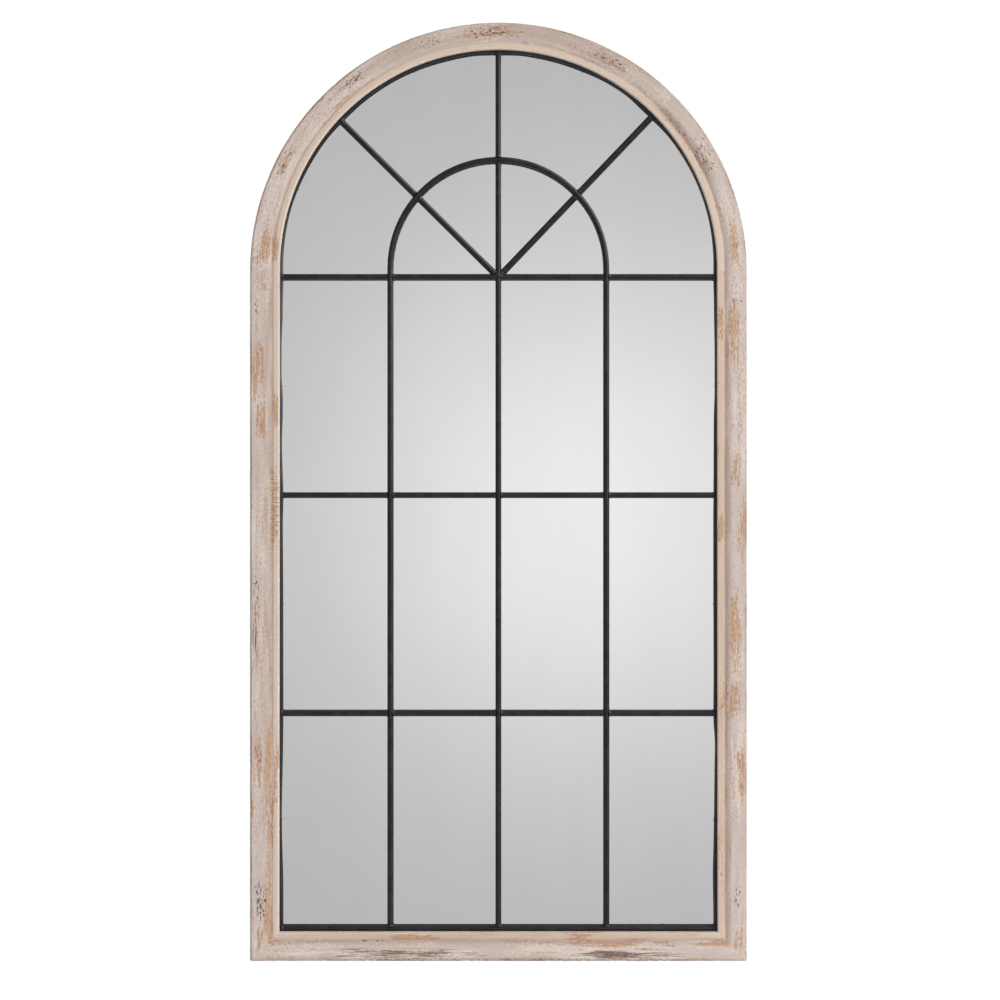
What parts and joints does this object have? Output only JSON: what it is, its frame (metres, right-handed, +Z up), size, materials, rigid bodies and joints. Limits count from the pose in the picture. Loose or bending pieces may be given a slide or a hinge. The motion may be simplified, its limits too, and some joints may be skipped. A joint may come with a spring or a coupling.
{
  "type": "arched window mirror",
  "caption": "Tall wall mirror with a round top, a limewashed moulded wooden frame and a black iron window grille in front of one pane.",
  "frame": {"origin": "middle of the line on which the two raised hanging rings bear, in the plane of the wall", "axes": "+X to the right seen from the front, +Y into the wall, +Z up"},
  "size_m": [0.794, 0.038, 1.5],
  "materials": {
    "limed_wood": "brushed whitewash worn through to tan wood",
    "black_iron": "satin black",
    "weld_metal": "satin black over weld",
    "silvered_glass": "clear silvered",
    "grey_board": "plain grey board",
    "fibreboard": "smooth brown fibreboard",
    "screw_steel": "zinc plated",
    "staple_steel": "blackened",
    "zinc_steel": "zinc plated",
    "dowel_wood": "plain beech",
    "pad_rubber": "matt"
  },
  "bodies": {
    "mirror": {"arch_left_lower": "limed_wood", "arch_left_upper": "limed_wood", "arch_right_lower": "limed_wood", "arch_right_upper": "limed_wood", "back_board": "fibreboard", "back_board_screws": "screw_steel", "bottom_rail": "limed_wood", "centre_bar": "black_iron", "grille_arch": "black_iron", "grille_foot": "black_iron", "grille_hoop": "black_iron", "hanger_screws": "screw_steel", "hanger_strap_left": "zinc_steel", "hanger_strap_right": "zinc_steel", "joint_dowels": "dowel_wood", "left_stile": "limed_wood", "mirror_glass": "silvered_glass", "packing_sheet": "grey_board", "right_stile": "limed_wood", "ring_staples": "staple_steel", "spoke_centre": "black_iron", "spoke_left_inner": "black_iron", "spoke_left_outer": "black_iron", "spoke_right_inner": "black_iron", "spoke_right_outer": "black_iron", "transom_bottom_left_inner": "black_iron", "transom_bottom_left_outer": "black_iron", "transom_bottom_right_inner": "black_iron", "transom_bottom_right_outer": "black_iron", "transom_middle_left_inner": "black_iron", "transom_middle_left_outer": "black_iron", "transom_middle_right_inner": "black_iron", "transom_middle_right_outer": "black_iron", "transom_top_left_inner": "black_iron", "transom_top_left_outer": "black_iron", "transom_top_right_inner": "black_iron", "transom_top_right_outer": "black_iron", "wall_pads": "pad_rubber", "weld_beads": "weld_metal"},
    "hanging_ring_left": {"hanger_ring_left": "zinc_steel"},
    "hanging_ring_right": {"hanger_ring_right": "zinc_steel"}
  },
  "joints": [
    {"name": "ring_swing_left", "type": "hinge", "parent": "mirror", "child": "hanging_ring_left", "pos_m": [-0.369, -0.0039, -0.016], "axis": [1, 0, 0], "range_deg": [0, 180]},
    {"name": "ring_swing_right", "type": "hinge", "parent": "mirror", "child": "hanging_ring_right", "pos_m": [0.369, -0.0039, -0.016], "axis": [1, 0, 0], "range_deg": [0, 180]}
  ]
}
